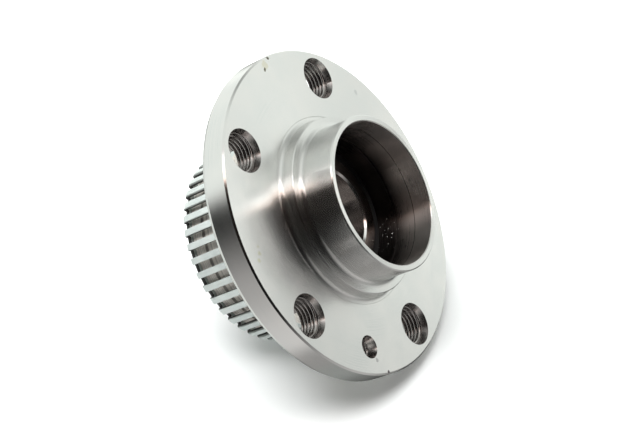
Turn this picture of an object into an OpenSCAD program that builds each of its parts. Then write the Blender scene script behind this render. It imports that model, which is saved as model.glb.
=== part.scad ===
// Wheel hub with a rotating flanged outer ring, a double-row ball bearing and a speed-sensor ring.
// The hub's axis lies along Y with the nose towards -Y, and +Z is up.
// The origin is the centre of the flange's front face, where the wheel and brake disc seat.

/* [Flange] */
// Flange diameter
flange_d = 120; // [110:0.5:130]
// Flange thickness
flange_t = 10.2; // [9:0.1:11.5]
// Chamfer on the rim's front edge
rim_front_chamfer = 0.6; // [0.3:0.1:1.2]
// Chamfer on the rim's back edge, across the rim
rim_back_chamfer = 0.8; // [0.4:0.1:1.8]
// Chamfer on the rim's back edge, along the axis
rim_back_chamfer_w = 1.45; // [0.4:0.05:2]

/* [Bolt and screw holes] */
// Number of wheel bolts
bolt_count = 5; // [4:1:6]
// Distance from the wheel bolt circle out to the flange's rim
bolt_margin = 10; // [9:0.5:12]
// Wheel bolt thread diameter
bolt_d = 14; // [12:0.5:14.5]
// Width of the lead-in at the mouth of a wheel bolt hole
bolt_mouth_d = 15.65; // [15:0.05:17]
// Depth of the lead-in
bolt_lead_depth = 2; // [1:0.1:3]
// Brake disc screw thread diameter
screw_d = 6; // [5:0.5:6.5]
// Distance from the disc screw's circle out to the flange's rim
screw_margin = 10; // [8:0.5:13]
// Width of the disc screw's countersink
screw_mouth_d = 8.25; // [7.5:0.05:9]
// Depth of the disc screw's countersink
screw_sink_depth = 3; // [1.5:0.1:4]

/* [Disc register and wheel pilot] */
// Brake disc register diameter
register_d = 65; // [63.5:0.1:67]
// Brake disc register height
register_h = 5.4; // [4.6:0.1:9]
// Chamfer on the register's front edge
register_chamfer = 0.3; // [0.2:0.1:1.2]
// Radius of the corner between flange and register
register_fillet = 1.9; // [0.8:0.1:2.2]
// Depth of the shallow relief turned into the flange round that corner
register_relief = 0.25; // [0.1:0.05:0.4]
// Width of that relief
register_relief_w = 0.45; // [0.45:0.05:1.5]
// Wheel pilot diameter
pilot_d = 57; // [56.5:0.1:58.5]
// Height of the nose above the flange
nose_h = 19; // [16:0.5:26]
// Radius of the corner between register and pilot
pilot_fillet = 2; // [0.6:0.1:2.2]
// Chamfer on the nose's outer edge
nose_chamfer = 0.4; // [0.2:0.1:0.8]

/* [Nose bore] */
// Grease cap bore diameter
cap_bore_d = 52.4; // [52:0.1:53]
// Depth of the grease cap's seat
cap_bore_depth = 7.7; // [5:0.1:10]
// Chamfer at the bore's mouth
cap_bore_chamfer = 0.3; // [0.2:0.1:0.7]
// Depth of the undercut behind the cap's seat
undercut = 0.3; // [0.1:0.05:0.6]
// Depth of the undercut bore's end from the nose's end
nose_bore_depth = 16; // [12:0.5:17]

/* [Bearing] */
// Ball diameter
ball_d = 7.144; // [6.9:0.01:7.3]
// Balls in each row
ball_count = 16; // [12:1:16]
// Diameter of the circle through the balls
pitch_d = 45.14; // [44.9:0.01:45.6]
// Distance between the two rows
row_spacing = 19.2; // [17:0.1:20]
// Spindle bore diameter
spindle_d = 32; // [30:0.1:33]
// How far the outboard inner ring's face lies behind the flange's front face
ring_setback = 3.2; // [2.5:0.1:4]
// How far an inner ring's face stands proud of its seal
ring_proud = 1.5; // [1:0.1:2.5]
// Height from the balls' circle down to the inner rings' outer shoulders
high_shoulder = 0.82; // [0.6:0.01:1.2]
// Height from the bottom of the inner raceways to the inner rings' middle shoulders
low_shoulder = 0.72; // [0.5:0.01:1.2]
// Height from the balls' circle up to the hub's shoulder between the rows
middle_shoulder = 0.83; // [0.6:0.01:1.4]
// Height from the hub's open shoulders up to the bottom of its raceways
open_shoulder = 0.46; // [0.3:0.01:0.7]
// Chamfer at both ends of the spindle bore
bore_chamfer = 0.7; // [0.3:0.1:1.2]
// Chamfer on the inner rings' outer edges
ring_chamfer = 0.6; // [0.3:0.1:1]

/* [Cages] */
// Thickness of a cage's closed side
cage_base_t = 1.5; // [1.1:0.1:2.2]
// How far a cage's prongs reach past the balls' centres
cage_prong = 2.4; // [1.6:0.1:2.8]
// Thickness of the prongs at their tips
cage_prong_t = 2.2; // [1.6:0.1:2.4]
// Gap between a cage and the inner ring's outer shoulder
cage_inner_gap = 0.4; // [0.3:0.05:0.7]
// Gap between a cage and the hub's bore
cage_outer_gap = 0.9; // [0.5:0.1:1.2]

/* [Clamp ring] */
// Thickness of the ring that clips the two inner rings together
clamp_t = 0.6; // [0.4:0.1:1]
// Width of the clamp ring
clamp_w = 6; // [5:0.1:8]
// Width of each of its hooks
hook_w = 0.8; // [0.5:0.1:1.2]
// Depth of the hooks' grooves in the inner rings
hook_depth = 0.8; // [0.5:0.1:1]

/* [Seals] */
// Width of each seal
seal_w = 3.6; // [3.2:0.1:4.4]
// Thickness of the seals' steel cases
case_t = 0.7; // [0.5:0.05:0.8]
// Height of the seals' steel cases across the gap
case_h = 2.4; // [2:0.1:2.6]
// Thickness of the rubber in front of the outboard case
rubber_t = 0.6; // [0.4:0.05:0.8]
// Thickness of the flinger's sheet
flinger_t = 0.6; // [0.4:0.05:0.7]
// Thickness of the seals' lips at their tips
lip_t = 0.3; // [0.2:0.05:0.4]
// Gap between the flinger's edge and the inboard case
flinger_gap = 0.2; // [0.15:0.05:0.4]

/* [Barrel and speed-sensor ring] */
// How far the barrel's end lies inside the inboard seal's face
barrel_inset = 0.15; // [0.1:0.05:1.6]
// Outer diameter of the speed-sensor ring
tone_d = 72.6; // [71:0.1:75]
// Thickness of its sheet
tone_t = 1.5; // [1.2:0.1:1.7]
// Width of the ring
tone_w = 21; // [18:0.5:24]
// Width of the ring's plain band, which is pressed on the barrel
tone_band = 3; // [2.4:0.1:4]
// Number of slots in the ring
slot_count = 43; // [36:1:45]
// Width of a slot
slot_w = 3; // [2.2:0.1:3.2]
// Angle of the first slot from the top, clockwise as seen from the front
slot_angle = 2.3; // [0:0.1:8]
// Outer radius of the ring's bend
tone_bend_r = 1.8; // [1.8:0.1:3.4]
// Inner diameter of the ring's end wall
tone_eye_d = 57; // [55:0.5:60]
// Depth to which the slots cut into the end wall
slot_inset = 2.4; // [1.8:0.1:5.4]
// Gap between the barrel's end and the ring's end wall
tone_gap = 0.3; // [0.2:0.1:1.5]
// Depth of the barrel's relief behind the slots
relief_depth = 1.6; // [1.2:0.1:2.4]
// Distance from the barrel's end to the shallow groove turned in the relief
relief_groove_at = 4.5; // [3:0.1:7]
// Width of that groove
relief_groove_w = 1.4; // [0.6:0.1:2.5]
// Depth of that groove
relief_groove_depth = 0.3; // [0.1:0.05:0.6]
// Height of the shoulder that the ring is pressed against
stop_h = 1.7; // [1:0.1:2.4]
// Rise of the barrel from that shoulder to the flange
barrel_rise = 1.7; // [0.5:0.1:3]
// Radius of the corner between barrel and flange
barrel_fillet = 4; // [2:0.5:6]

/* [Clearances] */
// Clearance between a ball and its raceways
race_clear = 0.12; // [0.06:0.01:0.2]
// Clearance between a ball and its cage pocket
pocket_clear = 0.15; // [0.1:0.01:0.25]
// Gap between a cage and the seal beside it
cage_seal_gap = 0.5; // [0.3:0.1:1]
// Clearance round the clamp ring and its hooks
clamp_clear = 0.1; // [0.05:0.01:0.15]
// Clearance between a seal lip and the surface that it seals on
lip_clear = 0.12; // [0.08:0.01:0.2]

/* [Hidden] */
$fn = 96;

// Small overrun that lets a cutter pass through a face
over = 1;
// Edge break on small corners
edge = 0.3;
// Rounding of the barrel's end
corner_r = 0.4;
// Chamfer where a bolt hole leaves the flange's back
back_break = 0.5;
// Where a cage starts to slant, measured from its row, on its outside and on its inside
slant_out = 1.5;
slant_in = 3;
// Rubber under the lips, how far a lip leans and reaches, and the outboard lip's place and rise
lip_base_t = 0.5;
lip_lean = 0.4;
lip_reach = 0.7;
lip_back = 0.9;
lip_rise = 0.6;
lip_edge = 0.1;

// Radii of the bearing
ball_r = ball_d / 2;
pitch_r = pitch_d / 2;
race_r = ball_r + race_clear;
bore_r = spindle_d / 2;
high_r = pitch_r - high_shoulder;
low_r = pitch_r - race_r + low_shoulder;
middle_r = pitch_r + middle_shoulder;
open_r = pitch_r + race_r - open_shoulder;
hook_r = low_r - hook_depth;

// Places along the axis, measured from the flange's front face, with + towards the nose
cap_seat_end = nose_h - cap_bore_depth;
seal_bore_start = nose_h - nose_bore_depth;
cage_reach = ball_r + pocket_clear + cage_base_t;
race_to_face = cage_reach + cage_seal_gap + seal_w + ring_proud;
ring_w = row_spacing / 2 + race_to_face;
outboard_row = -(ring_setback + race_to_face);
inboard_row = outboard_row - row_spacing;
middle = outboard_row - row_spacing / 2;
outboard_seal_face = -(ring_setback + ring_proud);
inboard_seal_face = 2 * middle - outboard_seal_face;
barrel_end = inboard_seal_face + barrel_inset;
tone_end = barrel_end - tone_gap - tone_t;
tone_start = tone_end + tone_w;

// Radii outside the bearing
flange_r = flange_d / 2;
register_r = register_d / 2;
relief_edge_r = register_r + register_fillet + register_relief_w;
pilot_r = pilot_d / 2;
cap_r = cap_bore_d / 2;
undercut_r = cap_r + undercut;
tone_r = tone_d / 2;
seat_r = tone_r - tone_t;
relief_r = seat_r - relief_depth;
groove_back = barrel_end + relief_groove_at;
groove_front = groove_back + relief_groove_w;
groove_r = relief_r - relief_groove_depth;
stop_r = seat_r + stop_h;
barrel_r = stop_r + barrel_rise;
bolt_circle_r = flange_r - bolt_margin;
screw_circle_r = flange_r - screw_margin;

function ball_name(side, i) = str(side, "_ball_", i < 10 ? "0" : "", i);

// Points on an arc round [r, a] from one angle to another
function arc(r, a, radius, from, to, steps = 8) =
  [for (i = [0:steps]) let (t = from + (to - from) * i / steps) [r + radius * cos(t), a + radius * sin(t)]];

// Angle round the axis of wheel bolt hole k, clockwise from the top as seen from the front.
// One hole is at the bottom, and the disc screw is halfway to the next one.
function bolt_angle(k) = 180 + 360 * k / bolt_count;
screw_angle = bolt_angle(0) + 180 / bolt_count;

// Turns a shape drawn round Z, with +Z towards the nose, into the hub's frame
module on_axis() { rotate([90, 0, 0]) children(); }

// A ring whose section is a list of [radius, place along the axis]
module ring(section) { on_axis() rotate_extrude() polygon(section); }

// Places a shape drawn round Z at a radius and an angle from the top
module around(angle, radius) { rotate([0, 0, -angle]) translate([0, radius, 0]) children(); }

// The groove that one row of balls runs in
module raceway(row) {
  on_axis() translate([0, 0, row]) rotate_extrude() translate([pitch_r, 0]) circle(r = race_r);
}

// Outline of the hub from the nose round to the barrel's end and back through the bore
function hub_section() = concat(
  [[cap_r, nose_h - cap_bore_chamfer], [cap_r + cap_bore_chamfer, nose_h]],
  [[pilot_r - nose_chamfer, nose_h], [pilot_r, nose_h - nose_chamfer]],
  arc(pilot_r + pilot_fillet, register_h + pilot_fillet, pilot_fillet, 180, 270),
  [[register_r - register_chamfer, register_h], [register_r, register_h - register_chamfer]],
  arc(register_r + register_fillet, register_fillet - register_relief, register_fillet, 180, 270),
  [[relief_edge_r - register_relief, -register_relief], [relief_edge_r, 0]],
  [[flange_r - rim_front_chamfer, 0], [flange_r, -rim_front_chamfer]],
  [[flange_r, rim_back_chamfer_w - flange_t], [flange_r - rim_back_chamfer, -flange_t]],
  arc(barrel_r + barrel_fillet, -flange_t - barrel_fillet, barrel_fillet, 90, 180),
  [[stop_r, tone_start + edge], [stop_r - edge, tone_start], [seat_r, tone_start]],
  [[seat_r, tone_start - tone_band + edge], [seat_r - edge, tone_start - tone_band]],
  [[relief_r, tone_start - tone_band], [relief_r, groove_front], [groove_r, groove_front]],
  [[groove_r, groove_back], [relief_r, groove_back]],
  arc(relief_r - corner_r, barrel_end + corner_r, corner_r, 0, -90),
  [[open_r + edge, barrel_end], [open_r, barrel_end + edge]],
  [[open_r, inboard_row], [middle_r, inboard_row], [middle_r, outboard_row], [open_r, outboard_row]],
  [[open_r, seal_bore_start], [undercut_r, seal_bore_start]],
  [[undercut_r, cap_seat_end], [cap_r, cap_seat_end]]);

// A wheel bolt hole with its lead-in and a broken back edge. Its cones run on past both faces.
module bolt_hole() {
  bolt_r = bolt_d / 2;
  lead_slope = (bolt_mouth_d / 2 - bolt_r) / bolt_lead_depth;
  rotate_extrude() polygon([
    [0, over], [bolt_mouth_d / 2 + lead_slope * over, over],
    [bolt_r, -bolt_lead_depth], [bolt_r, back_break - flange_t],
    [bolt_r + back_break + over, -flange_t - over], [0, -flange_t - over]]);
}

// The brake disc's screw hole with its countersink
module screw_hole() {
  screw_r = screw_d / 2;
  sink_slope = (screw_mouth_d - screw_d) / 2 / screw_sink_depth;
  rotate_extrude() polygon([
    [0, over], [screw_mouth_d / 2 + sink_slope * over, over], [screw_r, -screw_sink_depth],
    [screw_r, -flange_t - over], [0, -flange_t - over]]);
}

module hub_flange() {
  color([0.80, 0.82, 0.81]) difference() {
    ring(hub_section());
    raceway(outboard_row);
    raceway(inboard_row);
    for (k = [0:bolt_count - 1]) on_axis() around(bolt_angle(k), bolt_circle_r) bolt_hole();
    on_axis() around(screw_angle, screw_circle_r) screw_hole();
  }
}

// Outline of the speed-sensor ring: a plain band, the slotted wall, the bend and the end wall
function tone_section() = concat(
  [[seat_r, tone_start], [tone_r, tone_start]],
  arc(tone_r - tone_bend_r, tone_end + tone_bend_r, tone_bend_r, 0, -90),
  [[tone_eye_d / 2, tone_end], [tone_eye_d / 2, tone_end + tone_t]],
  arc(tone_r - tone_bend_r, tone_end + tone_bend_r, tone_bend_r - tone_t, -90, 0));

// A slot through the ring's wall and bend, with a round end at the plain band
module tone_slot() {
  slot_top = tone_start - tone_band - slot_w / 2;
  translate([-slot_w / 2, tone_r - slot_inset, tone_end - over])
    cube([slot_w, slot_inset + over, slot_top - tone_end + over]);
  translate([0, tone_r - slot_inset, slot_top])
    rotate([-90, 0, 0]) cylinder(d = slot_w, h = slot_inset + over);
}

module tone_ring() {
  color([0.62, 0.67, 0.66]) difference() {
    ring(tone_section());
    for (k = [0:slot_count - 1]) on_axis() around(slot_angle + 360 * k / slot_count, 0) tone_slot();
  }
}

// Outline of an inner ring, measured from the joint between the two
function inner_ring_section() = [
  [bore_r, bore_chamfer], [bore_r + bore_chamfer, 0],
  [low_r - edge, 0], [low_r, edge],
  [low_r, clamp_w / 2 - hook_w - clamp_clear], [hook_r, clamp_w / 2 - hook_w - clamp_clear],
  [hook_r, clamp_w / 2 + clamp_clear], [low_r, clamp_w / 2 + clamp_clear],
  [low_r, row_spacing / 2], [high_r, row_spacing / 2],
  [high_r, ring_w - ring_chamfer], [high_r - ring_chamfer, ring_w],
  [bore_r + bore_chamfer, ring_w], [bore_r, ring_w - bore_chamfer]];

// The same outline on either side of the joint: side is 1 outboard and -1 inboard
function beside_middle(section, side) = [for (p = section) [p[0], middle + side * p[1]]];

module inner_ring(side) {
  difference() {
    ring(beside_middle(inner_ring_section(), side));
    raceway(middle + side * row_spacing / 2);
  }
}
module outboard_inner_ring() { color([0.70, 0.66, 0.62]) inner_ring(1); }
module inboard_inner_ring() { color([0.70, 0.66, 0.62]) inner_ring(-1); }

// The clip that holds the two inner rings together, with a hook in a groove of each
module clamp_ring() {
  inside_r = low_r + clamp_clear;
  tip_r = hook_r + clamp_clear;
  half = clamp_w / 2;
  color([0.45, 0.46, 0.48]) ring([
    [inside_r + clamp_t, middle - half], [inside_r + clamp_t, middle + half], [tip_r, middle + half],
    [tip_r, middle + half - hook_w], [inside_r, middle + half - hook_w],
    [inside_r, middle - half + hook_w], [tip_r, middle - half + hook_w], [tip_r, middle - half]]);
}

// Outline of a cage, measured from its row of balls with + towards the cage's closed side.
// It slants outwards from the inner ring's low shoulder to pass over the high one.
function cage_section() = [
  [high_r + cage_inner_gap, cage_reach], [open_r - cage_outer_gap, cage_reach],
  [open_r - cage_outer_gap, slant_out], [pitch_r + cage_prong_t / 2, -cage_prong],
  [pitch_r - cage_prong_t / 2, -cage_prong], [high_r + cage_inner_gap, slant_in]];

module ball_cage(side) {
  row = middle + side * row_spacing / 2;
  difference() {
    ring([for (p = cage_section()) [p[0], row + side * p[1]]]);
    for (i = [1:ball_count]) at_ball(row, i) sphere(r = ball_r + pocket_clear);
  }
}
module outboard_cage() { color([0.16, 0.22, 0.18]) ball_cage(1); }
module inboard_cage() { color([0.16, 0.22, 0.18]) ball_cage(-1); }

module at_ball(row, i) { on_axis() translate([0, 0, row]) around(360 * i / ball_count, pitch_r) children(); }
module ball(row, i) { color([0.78, 0.80, 0.82]) at_ball(row, i) sphere(r = ball_r); }

// Outboard seal: a steel case pressed in the hub with a rubber face and lip bonded to it
module outboard_seal_case() {
  front = outboard_seal_face - rubber_t;
  back = outboard_seal_face - seal_w;
  color([0.35, 0.35, 0.36]) ring([
    [open_r, back], [open_r, front], [open_r - case_h, front], [open_r - case_h, front - case_t],
    [open_r - case_t, front - case_t], [open_r - case_t, back]]);
}
module outboard_seal_lip() {
  face = outboard_seal_face;
  front = face - rubber_t;
  inner = open_r - case_h;
  tip = high_r + lip_clear;
  root = tip + lip_rise;
  back = face - seal_w + lip_back;
  color([0.05, 0.05, 0.05]) ring([
    [open_r - edge, face], [open_r - edge, front], [inner, front], [inner, front - case_t],
    [inner - edge, front - case_t - edge], [tip + edge, back - lip_edge], [tip, back], [tip, back + lip_t],
    [root - lip_edge, front], [root, face - edge], [root + edge, face]]);
}

// Inboard seal: a steel case pressed in the hub, its rubber, and a flinger pressed on the inner ring
module inboard_seal_case() {
  inside = inboard_seal_face + seal_w;
  color([0.35, 0.35, 0.36]) ring([
    [open_r, inside], [open_r - case_h, inside], [open_r - case_h, inside - case_t],
    [open_r - case_t, inside - case_t], [open_r - case_t, barrel_end + edge], [open_r, barrel_end + edge]]);
}
module inboard_seal_lip() {
  inside = inboard_seal_face + seal_w;
  inner = open_r - case_h;
  wall = inside - case_t;
  base = wall - lip_base_t;
  face_tip = inboard_seal_face + flinger_t + lip_clear;
  sleeve_tip = high_r + flinger_t + lip_clear;
  outer = open_r - case_t;
  root = outer - lip_base_t;
  back = base - lip_reach;
  color([0.05, 0.05, 0.05]) ring([
    [outer, wall], [outer, base], [root, base], [root - lip_lean, face_tip], [root - lip_lean - lip_t, face_tip],
    [root - 2 * lip_t, base], [inner, base], [sleeve_tip + edge, back - lip_edge], [sleeve_tip, back],
    [sleeve_tip, back + lip_t], [inner - edge, wall], [inner - edge, inside - edge], [inner, inside - edge],
    [inner, wall]]);
}
module inboard_flinger() {
  sleeve = inboard_seal_face + seal_w - case_t - lip_base_t;
  out_r = open_r - case_t - flinger_gap;
  color([0.72, 0.73, 0.74]) ring([
    [high_r, inboard_seal_face], [out_r, inboard_seal_face], [out_r, inboard_seal_face + flinger_t],
    [high_r + flinger_t, inboard_seal_face + flinger_t], [high_r + flinger_t, sleeve], [high_r, sleeve]]);
}

hub_flange();
tone_ring();
outboard_inner_ring();
inboard_inner_ring();
clamp_ring();
outboard_cage();
inboard_cage();
outboard_seal_case();
outboard_seal_lip();
inboard_seal_case();
inboard_seal_lip();
inboard_flinger();
for (i = [1:ball_count])
  ball(outboard_row, i);
for (i = [1:ball_count])
  ball(inboard_row, i);
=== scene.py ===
"""Looks of the wheel hub: turned steel, zinc-plated sensor ring, greased seals and cut threads.

The hub's axis lies along Y with the nose towards -Y. Names that end in _MM hold millimetres and names
that end in _DEG hold degrees. A pair whose name ends in _EDGE is a soft edge: Tree.step is 0 at its
first value and 1 at its second. Edges on the part are in millimetres.
"""

import math

import bpy
from mathutils import Matrix, Vector


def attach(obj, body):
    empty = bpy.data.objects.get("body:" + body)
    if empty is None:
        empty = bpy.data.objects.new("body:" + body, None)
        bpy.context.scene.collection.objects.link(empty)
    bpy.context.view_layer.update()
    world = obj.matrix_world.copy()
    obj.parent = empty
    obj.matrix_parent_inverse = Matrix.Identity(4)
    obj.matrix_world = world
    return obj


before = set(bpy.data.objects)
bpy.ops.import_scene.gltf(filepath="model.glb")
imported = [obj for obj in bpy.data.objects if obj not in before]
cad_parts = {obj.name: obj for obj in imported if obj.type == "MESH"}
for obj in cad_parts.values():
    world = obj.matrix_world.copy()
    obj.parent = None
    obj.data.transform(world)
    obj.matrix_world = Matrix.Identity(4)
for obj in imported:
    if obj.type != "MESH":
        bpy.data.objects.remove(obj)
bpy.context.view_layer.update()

MM = 0.001

# Camera, from the photograph's perspective
AIM_MM = Vector((-15.0, 0.0, 3.9))
CAMERA_AZIMUTH_DEG = -52.76
CAMERA_ELEVATION_DEG = 13.53
CAMERA_ROLL_DEG = 32.2
CAMERA_DISTANCE_MM = 521.0
LENS_MM = 85.2
SENSOR_MM = 36.0
NEAREST_SEEN = 0.01

# The photographed table's upward direction in the part's frame: the hub lay tilted on it
TABLE_UP = Vector((-0.027, -0.579, 0.815)).normalized()

# Sizes that the details share with the solids. Places along the axis grow towards the nose from the
# flange's front face, and angles run from the top, clockwise as seen from the front.
FLANGE_T_MM = 10.2
BOLT_CIRCLE_R_MM = 50.0
BOLT_COUNT = 5
FIRST_BOLT_DEG = 180.0
SCREW_DEG = 216.0
BOLT_MOUTH_R_MM = 7.83
SCREW_MOUTH_R_MM = 4.13
CAP_SEAT_END_MM = 11.3
BARREL_GROOVE_MM = -37.2


def colour(red, green, blue):
    return (red, green, blue, 1.0)


def radians(*degrees):
    return tuple(math.radians(d) for d in degrees)


class Tree:
    """Short calls for building a node tree."""

    def __init__(self, tree):
        self.tree = tree
        tree.nodes.clear()

    def node(self, kind, inputs=(), **settings):
        made = self.tree.nodes.new(kind)
        for key, value in settings.items():
            setattr(made, key, value)
        for key, value in dict(inputs).items():
            self.feed(made.inputs[key], value)
        return made

    def feed(self, socket, value):
        if isinstance(value, bpy.types.NodeSocket):
            self.tree.links.new(value, socket)
        else:
            socket.default_value = value

    def maths(self, operation, *values):
        return self.node("ShaderNodeMath", enumerate(values), operation=operation).outputs[0]

    def both(self, a, b):
        """The product of two masks."""
        return self.maths("MULTIPLY", a, b)

    def apart(self, a, b):
        """How far two numbers are from each other."""
        return self.maths("ABSOLUTE", self.maths("SUBTRACT", a, b))

    def vary(self, value, noise, amount):
        """value, moved up and down by a noise around one half."""
        return self.maths("ADD", value, self.maths("MULTIPLY", self.maths("SUBTRACT", noise, 0.5), amount))

    def dot(self, vector, fixed):
        made = self.node("ShaderNodeVectorMath", {0: vector, 1: fixed}, operation="DOT_PRODUCT")
        return made.outputs["Value"]

    def step(self, value, low, high, to_low=0.0, to_high=1.0):
        """A smooth step from to_low, where value is low, to to_high, where value is high."""
        made = self.node("ShaderNodeMapRange", {"Value": value, "From Min": low, "From Max": high,
                                                "To Min": to_low, "To Max": to_high},
                         interpolation_type="SMOOTHSTEP")
        return made.outputs["Result"]

    def ramp(self, value, low, high, stops):
        """A level read off a curve through (value, level) stops, for values from low to high."""
        share = self.node("ShaderNodeMapRange", {"Value": value, "From Min": low, "From Max": high})
        made = self.node("ShaderNodeValToRGB", {0: share.outputs["Result"]})
        curve = made.color_ramp
        curve.interpolation = "CARDINAL"
        while len(curve.elements) < len(stops):
            curve.elements.new(1.0)
        for element, (at, level) in zip(curve.elements, stops):
            element.position = (at - low) / (high - low)
            element.color = (level, level, level, 1.0)
        return made.outputs["Color"]

    def blend(self, factor, a, b):
        """A number between a and b."""
        return self.node("ShaderNodeMix", {0: factor, 2: a, 3: b}, data_type="FLOAT").outputs[0]

    def tint(self, factor, a, b):
        """A colour between a and b."""
        return self.node("ShaderNodeMix", {0: factor, 6: a, 7: b}, data_type="RGBA").outputs[2]

    def noise(self, point, scale, detail, roughness=0.5):
        made = self.node("ShaderNodeTexNoise", {"Vector": point, "Scale": scale, "Detail": detail,
                                                "Roughness": roughness})
        return made.outputs["Fac"]

    def noise_along(self, place, scale, detail):
        """Noise that varies with one number only."""
        made = self.node("ShaderNodeTexNoise", {"W": place, "Scale": scale, "Detail": detail, "Roughness": 0.6},
                         noise_dimensions="1D")
        return made.outputs["Fac"]


def camera_axes():
    """Right, up and back directions of the camera."""
    azimuth, elevation, roll = radians(CAMERA_AZIMUTH_DEG, CAMERA_ELEVATION_DEG, CAMERA_ROLL_DEG)
    back = Vector((math.sin(azimuth) * math.cos(elevation), -math.cos(azimuth) * math.cos(elevation),
                   math.sin(elevation)))
    level_right = Vector((0, 0, 1)).cross(back).normalized()
    level_up = back.cross(level_right)
    up = level_up * math.cos(roll) + level_right * math.sin(roll)
    return up.cross(back), up, back


def make_camera():
    axes = camera_axes()
    data = bpy.data.cameras.new("camera")
    data.lens = LENS_MM
    data.sensor_width = SENSOR_MM
    data.clip_start = NEAREST_SEEN
    camera = bpy.data.objects.new("camera", data)
    place = (AIM_MM + axes[2] * CAMERA_DISTANCE_MM) * MM
    camera.matrix_world = Matrix.Translation(place) @ Matrix(axes).transposed().to_4x4()
    bpy.context.scene.collection.objects.link(camera)
    bpy.context.scene.camera = camera


# The room that the polished steel mirrors. Heights are sines of the angle above the table, and turns
# are degrees round the part from straight ahead of the camera, to the right positive.
# Brightness of the walls ahead of the camera and behind it, as (height, level) stops. Levels are
# halved here, because a curve holds nothing over 1, and LEVEL_SCALE doubles them.
AHEAD_LEVELS = ((-1.0, 0.13), (-0.74, 0.04), (-0.50, 0.03), (-0.35, 0.10), (-0.23, 0.57), (0.0, 0.50),
                (0.18, 0.51), (0.45, 0.43), (0.70, 0.23), (0.84, 0.29), (0.93, 0.43), (1.0, 0.46))
BEHIND_LEVELS = ((-1.0, 0.26), (-0.90, 0.35), (-0.56, 0.24), (-0.33, 0.18), (-0.12, 0.075),
                 (0.05, 0.012), (0.20, 0.012), (0.40, 0.006), (1.0, 0.006))
LEVEL_SCALE = 2.0
DARK_LEVEL = 0.006

# Where the walls ahead give way to the dark ones behind. The right side does so in two parts.
LEFT_END_EDGE = radians(-87, -98)
RIGHT_END_EDGES = (radians(62, 66), radians(66, 112))
RIGHT_END_SHARES = (0.35, 0.65)

# Above the table, the walls right behind the camera are darker still
FAR_BEHIND_EDGE = radians(118, 148)
FAR_BEHIND_SHARE = 0.45
HORIZON_EDGE = (-0.1, 0.1)

# The pale table to the left, and the plain level straight below
TABLE_LEFT_EDGE = radians(-8, -40)
TABLE_LEFT_HEIGHT_EDGE = (0.0, -0.3)
TABLE_LEFT_LEVEL = 0.42
NADIR_EDGE = (-0.90, -0.985)
NADIR_LEVEL = 0.16

# A bright window on the right
WINDOW_RIGHT_EDGE = radians(108, 94)
WINDOW_LEFT_EDGE = radians(65, 72)
WINDOW_SILL_EDGE = (0.16, 0.30)
WINDOW_LEVEL = 0.98

# The ceiling carries a strip of light. Its rear and front edges are measured in ceiling heights ahead
# of the part, and the slants say how far they run ahead per height to the side.
CEILING_EDGE = (0.45, 0.58)
LOWEST_CEILING = 0.05
STRIP_REAR, STRIP_REAR_SLANT = -0.33, 0.20
STRIP_FRONT, STRIP_FRONT_SLANT = -0.08, 0.15
STRIP_REAR_EDGE = (STRIP_REAR - 0.03, STRIP_REAR + 0.02)
STRIP_FRONT_EDGE = (STRIP_FRONT - 0.03, STRIP_FRONT + 0.03)
STRIP_PINK_EDGE = (STRIP_REAR + 0.13, STRIP_REAR + 0.02)
STRIP_LEVEL = 0.95

AHEAD_TONE = colour(0.965, 1.0, 0.955)
BEHIND_TONE = colour(1.0, 0.975, 0.95)
STRIP_REAR_TONE = colour(1.0, 0.78, 0.68)


def behind_camera(t, turn):
    """0 for the walls ahead of the camera, 1 for those behind it."""
    parts = [t.step(turn, *edge, 0.0, share) for edge, share in zip(RIGHT_END_EDGES, RIGHT_END_SHARES)]
    return t.maths("MAXIMUM", t.maths("ADD", *parts), t.step(turn, *LEFT_END_EDGE))


def wall_level(t, turn, height, behind):
    """Half the brightness of the walls and of the table below them."""
    far_behind = t.step(t.maths("ABSOLUTE", turn), *FAR_BEHIND_EDGE, 1.0, FAR_BEHIND_SHARE)
    behind_level = t.ramp(height, -1.0, 1.0, BEHIND_LEVELS)
    behind_level = t.blend(t.step(height, *HORIZON_EDGE), behind_level, t.both(behind_level, far_behind))
    table_left = t.both(t.step(turn, *TABLE_LEFT_EDGE),
                        t.step(height, *TABLE_LEFT_HEIGHT_EDGE, 0.0, TABLE_LEFT_LEVEL))
    ahead_level = t.maths("MAXIMUM", t.ramp(height, -1.0, 1.0, AHEAD_LEVELS), table_left)
    walls = t.blend(behind, ahead_level, behind_level)
    walls = t.blend(t.step(height, *NADIR_EDGE), walls, NADIR_LEVEL)
    window = t.both(t.step(turn, *WINDOW_LEFT_EDGE), t.step(turn, *WINDOW_RIGHT_EDGE))
    window = t.both(window, t.step(height, *WINDOW_SILL_EDGE))
    return t.maths("MAXIMUM", walls, t.maths("MULTIPLY", window, WINDOW_LEVEL))


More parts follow.
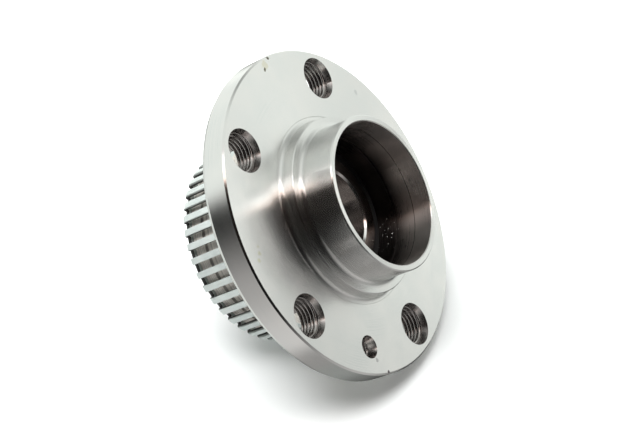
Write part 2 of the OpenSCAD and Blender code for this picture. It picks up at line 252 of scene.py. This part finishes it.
def make_world():
    """The mirrored room: pale walls ahead of the camera, dark ones behind it, a strip of light overhead.

    The camera itself sees plain white.
    """
    back = camera_axes()[2]
    ahead = (-back - TABLE_UP * (-back).dot(TABLE_UP)).normalized()
    side = ahead.cross(TABLE_UP)
    world = bpy.data.worlds.new("studio")
    bpy.context.scene.world = world
    world.use_nodes = True
    t = Tree(world.node_tree)
    towards = t.node("ShaderNodeTexCoord").outputs["Generated"]
    height = t.dot(towards, TABLE_UP)
    turn = t.maths("ARCTAN2", t.dot(towards, side), t.dot(towards, ahead))
    behind = behind_camera(t, turn)
    walls = wall_level(t, turn, height, behind)
    rise = t.maths("MAXIMUM", height, LOWEST_CEILING)
    on, across = (t.maths("DIVIDE", t.dot(towards, way), rise) for way in (ahead, side))
    past_rear = t.maths("SUBTRACT", on, t.maths("MULTIPLY", across, STRIP_REAR_SLANT))
    past_front = t.maths("SUBTRACT", on, t.maths("MULTIPLY", across, STRIP_FRONT_SLANT))
    strip = t.blend(t.step(past_rear, *STRIP_REAR_EDGE), DARK_LEVEL, STRIP_LEVEL)
    ceiling = t.blend(t.step(past_front, *STRIP_FRONT_EDGE), strip, t.ramp(height, -1.0, 1.0, AHEAD_LEVELS))
    overhead = t.step(height, *CEILING_EDGE)
    level = t.maths("MULTIPLY", t.blend(overhead, walls, ceiling), LEVEL_SCALE)
    tone = t.tint(behind, AHEAD_TONE, BEHIND_TONE)
    tone = t.tint(t.both(t.step(past_rear, *STRIP_PINK_EDGE), overhead), tone, STRIP_REAR_TONE)
    lit = t.node("ShaderNodeBackground", {"Color": tone, "Strength": level})
    seen = t.node("ShaderNodeBackground", {"Color": colour(1, 1, 1), "Strength": 1.0})
    camera_ray = t.node("ShaderNodeLightPath").outputs["Is Camera Ray"]
    mix = t.node("ShaderNodeMixShader", {0: camera_ray, 1: lit.outputs[0], 2: seen.outputs[0]})
    t.node("ShaderNodeOutputWorld", {"Surface": mix.outputs[0]})


# Soft lights for matte surfaces and the table, which polished steel doesn't mirror: where each comes
# from, its level on a surface that faces it and its spread. Those from above cast shadows.
SOFT_LIGHTS = (
    ((-0.33, -0.43, 0.84), 1.02, 36.0),
    ((0.45, -0.60, 0.65), 0.08, 70.0),
    ((-0.75, 0.15, -0.65), 0.26, 90.0),
)


def make_lights():
    for k, (towards, level, spread_deg) in enumerate(SOFT_LIGHTS):
        data = bpy.data.lights.new(f"soft_light_{k + 1}", "SUN")
        data.energy = level * math.pi
        data.angle = math.radians(spread_deg)
        data.use_shadow = towards[2] > 0
        lamp = bpy.data.objects.new(data.name, data)
        lamp.rotation_euler = Vector(towards).to_track_quat("Z", "Y").to_euler()
        lamp.visible_glossy = False
        bpy.context.scene.collection.objects.link(lamp)


# The table, in metres: half its width, its gap below the part, and how far from the part's foot the
# lift that turns it white for the camera grows from its first value to its second
FLOOR_HALF = 3.0
FLOOR_GAP = 0.00005
FLOOR_COLOUR = colour(0.86, 0.885, 0.89)
FLOOR_ROUGHNESS = 0.35
FLOOR_LIFT_EDGE = (52.0 * MM, 100.0 * MM)
FLOOR_LIFTS = (0.03, 0.35)


def make_floor():
    """The pale table that the hub lies on, on its rim and its sensor ring.

    It is lifted to white for the camera and keeps the hub's shadow. The steel mirrors the room
    instead of it, and the camera sees through it from below.
    """
    low = min((node.matrix_world @ v.co).dot(TABLE_UP)
              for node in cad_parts.values() for v in node.data.vertices)
    corners = [(x * FLOOR_HALF, y * FLOOR_HALF, 0) for x, y in ((-1, -1), (1, -1), (1, 1), (-1, 1))]
    mesh = bpy.data.meshes.new("floor")
    mesh.from_pydata(corners, [], [(0, 1, 2, 3)])
    floor = bpy.data.objects.new("floor", mesh)
    tilt = TABLE_UP.to_track_quat("Z", "Y").to_matrix().to_4x4()
    floor.matrix_world = Matrix.Translation(TABLE_UP * (low - FLOOR_GAP)) @ tilt
    bpy.context.scene.collection.objects.link(floor)
    material, t = new_material("floor")
    rays = t.node("ShaderNodeLightPath")
    from_foot = t.node("ShaderNodeVectorMath", {0: t.node("ShaderNodeTexCoord").outputs["Object"]},
                       operation="LENGTH")
    lift = t.step(from_foot.outputs["Value"], *FLOOR_LIFT_EDGE, *FLOOR_LIFTS)
    glow = t.node("ShaderNodeEmission", {"Color": colour(1, 1, 1),
                                         "Strength": t.maths("MULTIPLY", rays.outputs["Is Camera Ray"], lift)})
    plain = t.node("ShaderNodeBsdfPrincipled", {"Base Color": FLOOR_COLOUR, "Roughness": FLOOR_ROUGHNESS})
    table = t.node("ShaderNodeAddShader", {0: plain.outputs[0], 1: glow.outputs[0]})
    below = t.node("ShaderNodeNewGeometry").outputs["Backfacing"]
    seen_from_below = t.both(below, rays.outputs["Is Camera Ray"])
    clear = t.maths("MAXIMUM", rays.outputs["Is Glossy Ray"], seen_from_below)
    shown = t.node("ShaderNodeMixShader", {0: clear, 1: table.outputs[0],
                                           2: t.node("ShaderNodeBsdfTransparent").outputs[0]})
    t.node("ShaderNodeOutputMaterial", {"Surface": shown.outputs[0]})
    mesh.materials.append(material)


def new_material(name):
    material = bpy.data.materials.new(name)
    material.use_nodes = True
    return material, Tree(material.node_tree)


# How far a surface faces along the axis: round surfaces are below these values and faces above them
FACING_EDGE = (0.55, 0.75)
# Blender's turn of the anisotropy by which a round tangent smears reflections along the axis
ALONG_AXIS = 0.25


def places(t):
    """Where a point lies, in millimetres: x and z, radius from the axis, distance towards the nose.

    Also its angle round the axis, how much its surface faces along the axis, and its plain
    coordinates for noise.
    """
    coords = t.node("ShaderNodeTexCoord")
    parts = t.node("ShaderNodeSeparateXYZ", {0: coords.outputs["Object"]})
    x, y, z = (t.maths("MULTIPLY", parts.outputs[k], 1 / MM) for k in "XYZ")
    radius = t.maths("SQRT", t.maths("ADD", t.maths("MULTIPLY", x, x), t.maths("MULTIPLY", z, z)))
    facing = t.node("ShaderNodeSeparateXYZ", {0: coords.outputs["Normal"]}).outputs["Y"]
    return {"x": x, "z": z, "radius": radius, "along": t.maths("MULTIPLY", y, -1.0),
            "angle": t.maths("ARCTAN2", x, z), "facing": t.maths("ABSOLUTE", facing),
            "point": coords.outputs["Object"]}


def round_place(angle_deg, radius):
    """x and z at an angle from the top, clockwise as seen from the front."""
    a = math.radians(angle_deg)
    return radius * math.sin(a), radius * math.cos(a)


def tool_lines(t, at, scale, drift_mm=0.0):
    """Noise in fine rings: along the radius on faces and along the axis on round surfaces.

    drift_mm moves the rings to and fro on their way round, so that they aren't perfect circles.
    """
    across = t.blend(t.step(at["facing"], *FACING_EDGE), at["along"], at["radius"])
    if drift_mm:
        across = t.maths("ADD", across, t.maths("MULTIPLY", t.maths("SINE", at["angle"]), drift_mm))
    return t.noise_along(across, scale, 3.0)


def steel_surface(t, base, roughness, bump, height_mm, anisotropic, metallic=1.0):
    """Principled metal with its grain running round the hub's axis."""
    tangent = t.node("ShaderNodeTangent", direction_type="RADIAL", axis="Y")
    raised = t.node("ShaderNodeBump", {"Height": bump, "Distance": height_mm * MM, "Strength": 1.0})
    shader = t.node("ShaderNodeBsdfPrincipled", {
        "Base Color": base, "Metallic": metallic, "Roughness": roughness, "Anisotropic": anisotropic,
        "Anisotropic Rotation": ALONG_AXIS, "Normal": raised.outputs[0], "Tangent": tangent.outputs[0]})
    t.node("ShaderNodeOutputMaterial", {"Surface": shader.outputs[0]})


# Where the hub's finishes change: the ground seats inside the flange face, the rim, the bore and the
# barrel, by radius or by distance towards the nose
SEAT_R_EDGE = (34.6, 33.6)
RIM_R_EDGE = (59.3, 59.7)
BORE_R_EDGE = (26.75, 26.65)
BORE_MOUTH_EDGE = (18.9, 18.6)
BARREL_R_EDGE = (29.0, 30.0)
BARREL_START_EDGE = (-FLANGE_T_MM - 0.8, -FLANGE_T_MM - 1.3)

FACE_ROUGHNESS, FACE_GRAIN = 0.23, 0.85
SEAT_ROUGHNESS, SEAT_GRAIN = 0.24, 1.0
RIM_ROUGHNESS = 0.16
BORE_ROUGHNESS = 0.285
HOLE_ROUGHNESS = 0.24
BARREL_ROUGHNESS, BARREL_METALLIC = 0.34, 0.3
GREASE_GLINT_METALLIC = 0.1

# Marks on the flange face: angle, radius, size and colour
FACE_MARKS = (
    (5.5, 57.6, 2.1, colour(0.74, 0.72, 0.62)),
    (4.4, 56.3, 0.8, colour(0.20, 0.19, 0.15)),
    (9.0, 59.2, 0.7, colour(0.16, 0.15, 0.12)),
    (-74.0, 52.6, 0.8, colour(0.74, 0.735, 0.64)),
    (-76.5, 53.3, 0.9, colour(0.74, 0.735, 0.64)),
    (-78.5, 54.8, 0.8, colour(0.74, 0.735, 0.64)),
    (-152.0, 59.2, 0.7, colour(0.16, 0.14, 0.15)),
    (-147.0, 54.6, 0.8, colour(0.55, 0.55, 0.55)),
    (60.0, 52.5, 1.2, colour(0.68, 0.69, 0.69)),
)
MARK_WOBBLE = 2.2
MARK_CORE = 0.6
FRONT_FACE_EDGE = (-0.9, -0.6)

# Painted shade darkens the bore towards its floor, and a painted dark line stands for the shade of the step at
# the end of the cap's seat
BORE_SHADE_EDGE = (12.0, 2.0)
SEAT_STEP_SHADE_EDGE = (0.28, 0.12)

# Specks of grease low in the bore, painted white to stand for their glints: the middle of their patch, its soft
# edges, and the noise's peaks
GREASE_GLINT_TURN = math.radians(143.0)
GREASE_GLINT_SPREAD_EDGE = radians(19, 10)
GREASE_GLINT_DEPTH_EDGE = (4.5, 3.0)
GREASE_GLINT_PEAK_EDGE = (0.70, 0.74)

# The contrast of the bands on the barrel, and half the width of the painted shade in its groove
BAND_EDGE = (0.38, 0.62)
GROOVE_SHADE_EDGE = (0.8, 0.6)


def square_away(t, at, x, z):
    """Square of the distance from a place on the flange, across the axis."""
    dx, dz = t.maths("SUBTRACT", at["x"], x), t.maths("SUBTRACT", at["z"], z)
    return t.maths("MULTIPLY_ADD", dx, dx, t.maths("MULTIPLY", dz, dz))


def in_holes(t, at):
    """1 inside the wheel bolt holes and the disc screw's hole, 0 outside them."""
    half_pitch = math.pi / BOLT_COUNT
    turned = t.maths("SUBTRACT", at["angle"], math.radians(FIRST_BOLT_DEG))
    near = t.maths("WRAP", turned, half_pitch, -half_pitch)
    reach = t.maths("MULTIPLY", t.maths("MULTIPLY", at["radius"], t.maths("COSINE", near)),
                    2 * BOLT_CIRCLE_R_MM)
    squares = t.maths("MULTIPLY_ADD", at["radius"], at["radius"], BOLT_CIRCLE_R_MM ** 2)
    bolt = t.maths("LESS_THAN", t.maths("SUBTRACT", squares, reach), BOLT_MOUTH_R_MM ** 2)
    screw_place = round_place(SCREW_DEG, BOLT_CIRCLE_R_MM)
    screw = t.maths("LESS_THAN", square_away(t, at, *screw_place), SCREW_MOUTH_R_MM ** 2)
    return t.maths("MAXIMUM", bolt, screw)


def mark(t, at, angle_deg, radius, size_mm, wobble):
    """1 inside a small uneven mark on the flange face, 0 outside it."""
    away = t.maths("SQRT", square_away(t, at, *round_place(angle_deg, radius)))
    away = t.maths("MULTIPLY_ADD", t.maths("SUBTRACT", wobble, 0.5), size_mm * MARK_WOBBLE, away)
    return t.both(t.step(away, size_mm, size_mm * MARK_CORE), t.step(at["along"], *FRONT_FACE_EDGE))


def face_colour(t, at, lines, blotch):
    """Bare steel with faint clouds, turning lines and a few marks."""
    base = t.tint(t.step(blotch, 0.3, 0.7), colour(0.73, 0.755, 0.745), colour(0.85, 0.845, 0.825))
    base = t.tint(t.step(lines, 0.35, 0.65), base, colour(0.81, 0.81, 0.80))
    wobble = t.noise(at["point"], 420.0, 3.0)
    for angle_deg, radius, size, tone in FACE_MARKS:
        base = t.tint(mark(t, at, angle_deg, radius, size, wobble), base, tone)
    return base


def bore_colour_and_shade(t, at):
    """Oiled steel, with painted shade that darkens it towards the bore's floor and a painted dark line for the
    shade of the step at the end of the cap's seat.
    """
    # Painted shade: the bore turns near-black towards its floor.
    base = t.tint(t.step(at["along"], *BORE_SHADE_EDGE), colour(0.74, 0.68, 0.655), colour(0.07, 0.062, 0.06))
    # Painted shade: a dark line at the step where the cap's seat ends.
    line = t.step(t.apart(at["along"], CAP_SEAT_END_MM), *SEAT_STEP_SHADE_EDGE)
    return t.tint(line, base, colour(0.05, 0.045, 0.04))


def barrel_colour(t, at):
    """Beige turned bands, with painted shade in the groove: a dark band."""
    bands = t.noise_along(at["along"], 1.3, 2.0)
    base = t.tint(t.step(bands, *BAND_EDGE), colour(0.62, 0.585, 0.54), colour(0.93, 0.88, 0.81))
    # Painted shade: the barrel's groove is drawn as a dark band.
    groove_shade = t.step(t.apart(at["along"], BARREL_GROOVE_MM), *GROOVE_SHADE_EDGE)
    return t.tint(groove_shade, base, colour(0.30, 0.28, 0.255))


def grease_glint_specks(t, at, bore):
    """1 on small white specks of grease low in the bore, painted white to stand for their glints, 0 elsewhere.
    """
    patch = t.both(t.step(t.apart(at["angle"], GREASE_GLINT_TURN), *GREASE_GLINT_SPREAD_EDGE), bore)
    patch = t.both(patch, t.step(at["along"], *GREASE_GLINT_DEPTH_EDGE))
    return t.both(patch, t.step(t.noise(at["point"], 1300.0, 1.0), *GREASE_GLINT_PEAK_EDGE))


def hub_steel():
    """Turned steel: satin face, ground seats, bright rim, oiled bore with painted shade, grease specks painted
    white as glints, and banded barrel with painted shade in its groove.
    """
    material, t = new_material("turned_steel")
    at = places(t)
    hole = in_holes(t, at)
    seat = t.step(at["radius"], *SEAT_R_EDGE)
    rim = t.step(at["radius"], *RIM_R_EDGE)
    bore = t.both(t.step(at["radius"], *BORE_R_EDGE), t.step(at["along"], *BORE_MOUTH_EDGE))
    barrel = t.both(t.step(at["along"], *BARREL_START_EDGE), t.step(at["radius"], *BARREL_R_EDGE))
    grease_glints = grease_glint_specks(t, at, bore)
    lines = tool_lines(t, at, 3.0, 0.02)
    blotch = t.noise(at["point"], 60.0, 4.0, 0.55)

    base = t.tint(hole, face_colour(t, at, lines, blotch), colour(0.60, 0.58, 0.57))
    base = t.tint(bore, base, bore_colour_and_shade(t, at))
    # Painted highlight: grease specks painted white to stand for their glints.
    base = t.tint(grease_glints, base, colour(0.93, 0.93, 0.90))
    base = t.tint(barrel, base, barrel_colour(t, at))

    rough = t.blend(seat, FACE_ROUGHNESS, SEAT_ROUGHNESS)
    rough = t.blend(rim, rough, RIM_ROUGHNESS)
    rough = t.blend(bore, rough, BORE_ROUGHNESS)
    rough = t.vary(t.vary(rough, lines, 0.06), blotch, 0.12)
    rough = t.blend(hole, rough, HOLE_ROUGHNESS)
    rough = t.blend(barrel, rough, BARREL_ROUGHNESS)

    smooth = t.maths("MAXIMUM", hole, t.maths("MULTIPLY", bore, 0.9))
    grain = t.blend(hole, t.blend(seat, FACE_GRAIN, SEAT_GRAIN), 0.0)
    metallic = t.blend(grease_glints, t.blend(barrel, 1.0, BARREL_METALLIC), GREASE_GLINT_METALLIC)
    steel_surface(t, base, rough, t.blend(smooth, lines, 0.5), 0.0012, grain, metallic)
    return material


# The spindle bore's wall and the chamfer between it and the inner rings' faces, by radius. The chamfer is
# painted near-white as a highlight.
SPINDLE_WALL_EDGE = (16.1, 16.02)
INNER_FACE_EDGE = (16.6, 16.9)


def stains(t, at):
    return t.noise(at["point"], 90.0, 3.0)


def bearing_steel():
    """Ground bearing steel under a film of oil, with a painted highlight: the chamfer round the spindle bore is
    near-white.
    """
    material, t = new_material("bearing_steel")
    at = places(t)
    lines = tool_lines(t, at, 5.0)
    base = t.tint(stains(t, at), colour(0.33, 0.30, 0.28), colour(0.46, 0.42, 0.40))
    # Painted highlight: the chamfer round the spindle bore is near-white.
    base = t.tint(t.step(at["radius"], *INNER_FACE_EDGE), colour(0.96, 0.94, 0.93), base)
    base = t.tint(t.step(at["radius"], *SPINDLE_WALL_EDGE), base, colour(0.33, 0.30, 0.29))
    steel_surface(t, base, t.vary(0.17, lines, 0.08), lines, 0.001, 0.8)
    return material


def plain_steel(name, base, roughness, anisotropic=0.3):
    """Steel of one kind with faint stains and fine turning lines."""
    material, t = new_material(name)
    at = places(t)
    lines = tool_lines(t, at, 4.0)
    darker = tuple(c * 0.82 for c in base[:3]) + (1.0,)
    tone = t.tint(t.step(stains(t, at), 0.35, 0.7), base, darker)
    steel_surface(t, tone, t.vary(roughness, lines, 0.12), lines, 0.003, anisotropic)
    return material


# The zinc colour shows on the ring's outside: between these radii, or where it faces along the axis. Inside the
# ring and on the sides of its slots it is painted near-black as shade.
RING_SHADE_RADIUS_EDGE = (35.2, 36.2)
RING_SHADE_FACING_EDGE = (0.6, 0.8)
ZINC_METALLIC = 0.35


def zinc():
    """Matte zinc plating on stamped sheet, with painted shade: near-black inside the ring and on the sides of
    the slots.
    """
    material, t = new_material("sensor_ring_zinc")
    at = places(t)
    grain = t.noise(at["point"], 900.0, 3.0, 0.6)
    cloud = t.noise(at["point"], 120.0, 3.0)
    base = t.tint(t.step(cloud, 0.3, 0.7), colour(0.60, 0.66, 0.645), colour(0.72, 0.775, 0.755))
    outside = t.maths("MAXIMUM", t.step(at["radius"], *RING_SHADE_RADIUS_EDGE),
                      t.step(at["facing"], *RING_SHADE_FACING_EDGE))
    # Painted shade: near-black inside the ring and on the sides of its slots.
    base = t.tint(outside, colour(0.045, 0.045, 0.043), base)
    raised = t.node("ShaderNodeBump", {"Height": grain, "Distance": 0.02 * MM, "Strength": 0.6})
    shader = t.node("ShaderNodeBsdfPrincipled", {
        "Base Color": base, "Metallic": ZINC_METALLIC, "Roughness": t.blend(cloud, 0.42, 0.56),
        "Normal": raised.outputs[0]})
    t.node("ShaderNodeOutputMaterial", {"Surface": shader.outputs[0]})
    return material


def soft_material(name, base, roughness, scale, depth_mm):
    """Rubber or moulded plastic with a fine grain."""
    material, t = new_material(name)
    grain = t.noise(places(t)["point"], scale, 4.0, 0.6)
    darker = tuple(c * 0.6 for c in base[:3]) + (1.0,)
    raised = t.node("ShaderNodeBump", {"Height": grain, "Distance": depth_mm * MM, "Strength": 0.5})
    shader = t.node("ShaderNodeBsdfPrincipled", {
        "Base Color": t.tint(grain, darker, base), "Roughness": t.blend(grain, roughness - 0.1, roughness + 0.1),
        "Normal": raised.outputs[0]})
    t.node("ShaderNodeOutputMaterial", {"Surface": shader.outputs[0]})
    return material


def dress(material, *nodes):
    """Gives CAD nodes a material."""
    for name in nodes:
        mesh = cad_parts[name].data
        mesh.materials.clear()
        mesh.materials.append(material)


def dress_all():
    balls = [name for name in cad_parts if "_ball_" in name]
    dress(hub_steel(), "hub_flange")
    dress(zinc(), "tone_ring")
    dress(bearing_steel(), "outboard_inner_ring", "inboard_inner_ring")
    dress(plain_steel("clamp_spring_steel", colour(0.45, 0.46, 0.48), 0.35), "clamp_ring")
    dress(plain_steel("seal_case_steel", colour(0.35, 0.35, 0.36), 0.40),
          "outboard_seal_case", "inboard_seal_case")
    dress(plain_steel("flinger_steel", colour(0.72, 0.73, 0.74), 0.30), "inboard_flinger")
    dress(plain_steel("ball_steel", colour(0.78, 0.80, 0.82), 0.06, 0.0), *balls)
    dress(soft_material("cage_polyamide", colour(0.16, 0.22, 0.18), 0.45, 500.0, 0.02),
          "outboard_cage", "inboard_cage")
    dress(soft_material("seal_rubber", colour(0.03, 0.03, 0.03), 0.45, 700.0, 0.02),
          "outboard_seal_lip", "inboard_seal_lip")


# Threads: wall and crest radii and pitch, with the places where they start and end along the axis
WHEEL_BOLT_THREAD = {"top_mm": -2.0, "bottom_mm": -FLANGE_T_MM + 0.3,
                     "wall_mm": 7.0, "crest_mm": 6.19, "pitch_mm": 1.5}
DISC_SCREW_THREAD = {"top_mm": -2.8, "bottom_mm": -FLANGE_T_MM + 0.2,
                     "wall_mm": 3.0, "crest_mm": 2.46, "pitch_mm": 1.0}
THREAD_STEPS = 56
THREAD_FADE_STEPS = THREAD_STEPS // 3
THREAD_FOOT = 0.44
THREAD_CROWN = 0.125
THREAD_SUNK_MM = 0.03
THREAD_LEAST = 0.03


def thread(name, middle_mm, top_mm, bottom_mm, wall_mm, crest_mm, pitch_mm):
    """An internal thread's ridge: a helix on the wall of a hole whose axis runs along Y.

    middle_mm is the hole's x and z. The ridge fades in and out over part of a turn at its ends, and
    its foot is sunk a little into the wall.
    """
    rings = int((top_mm - bottom_mm) / pitch_mm * THREAD_STEPS)
    foot = THREAD_FOOT * pitch_mm
    crown = THREAD_CROWN * pitch_mm
    seat = wall_mm + THREAD_SUNK_MM
    verts = []
    for i in range(rings + 1):
        turn = 2 * math.pi * i / THREAD_STEPS
        along = top_mm - foot - pitch_mm * i / THREAD_STEPS
        grown = min(1.0, i / THREAD_FADE_STEPS, (rings - i) / THREAD_FADE_STEPS)
        crest = wall_mm - (wall_mm - crest_mm) * max(grown, THREAD_LEAST)
        for radius, shift in ((seat, foot), (crest, crown), (crest, -crown), (seat, -foot)):
            verts.append(((middle_mm[0] + radius * math.sin(turn)) * MM, -(along + shift) * MM,
                          (middle_mm[1] + radius * math.cos(turn)) * MM))
    faces = [(3, 2, 1, 0), tuple(4 * rings + k for k in range(4))]
    for i in range(rings):
        for k in range(4):
            a, b = 4 * i + k, 4 * i + (k + 1) % 4
            faces.append((a, b, b + 4, a + 4))
    mesh = bpy.data.meshes.new(name)
    mesh.from_pydata(verts, [], faces)
    mesh.validate()
    mesh.update()
    ridge = bpy.data.objects.new(name, mesh)
    bpy.context.scene.collection.objects.link(ridge)
    return ridge


def make_threads():
    """The threads in the wheel bolt holes and in the disc screw's hole."""
    cut = plain_steel("thread_steel", colour(0.50, 0.48, 0.47), 0.22, 0.0)
    made = []
    for k in range(BOLT_COUNT):
        middle = round_place(FIRST_BOLT_DEG + 360 * k / BOLT_COUNT, BOLT_CIRCLE_R_MM)
        made.append(thread(f"wheel_bolt_thread_{k + 1}", middle, **WHEEL_BOLT_THREAD))
    middle = round_place(SCREW_DEG, BOLT_CIRCLE_R_MM)
    made.append(thread("disc_screw_thread", middle, **DISC_SCREW_THREAD))
    for ridge in made:
        ridge.data.materials.append(cut)
        for face in ridge.data.polygons:
            face.use_smooth = True
        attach(ridge, "hub")


bpy.context.scene.view_settings.view_transform = "Standard"
make_camera()
make_world()
make_lights()
make_floor()
dress_all()
make_threads()
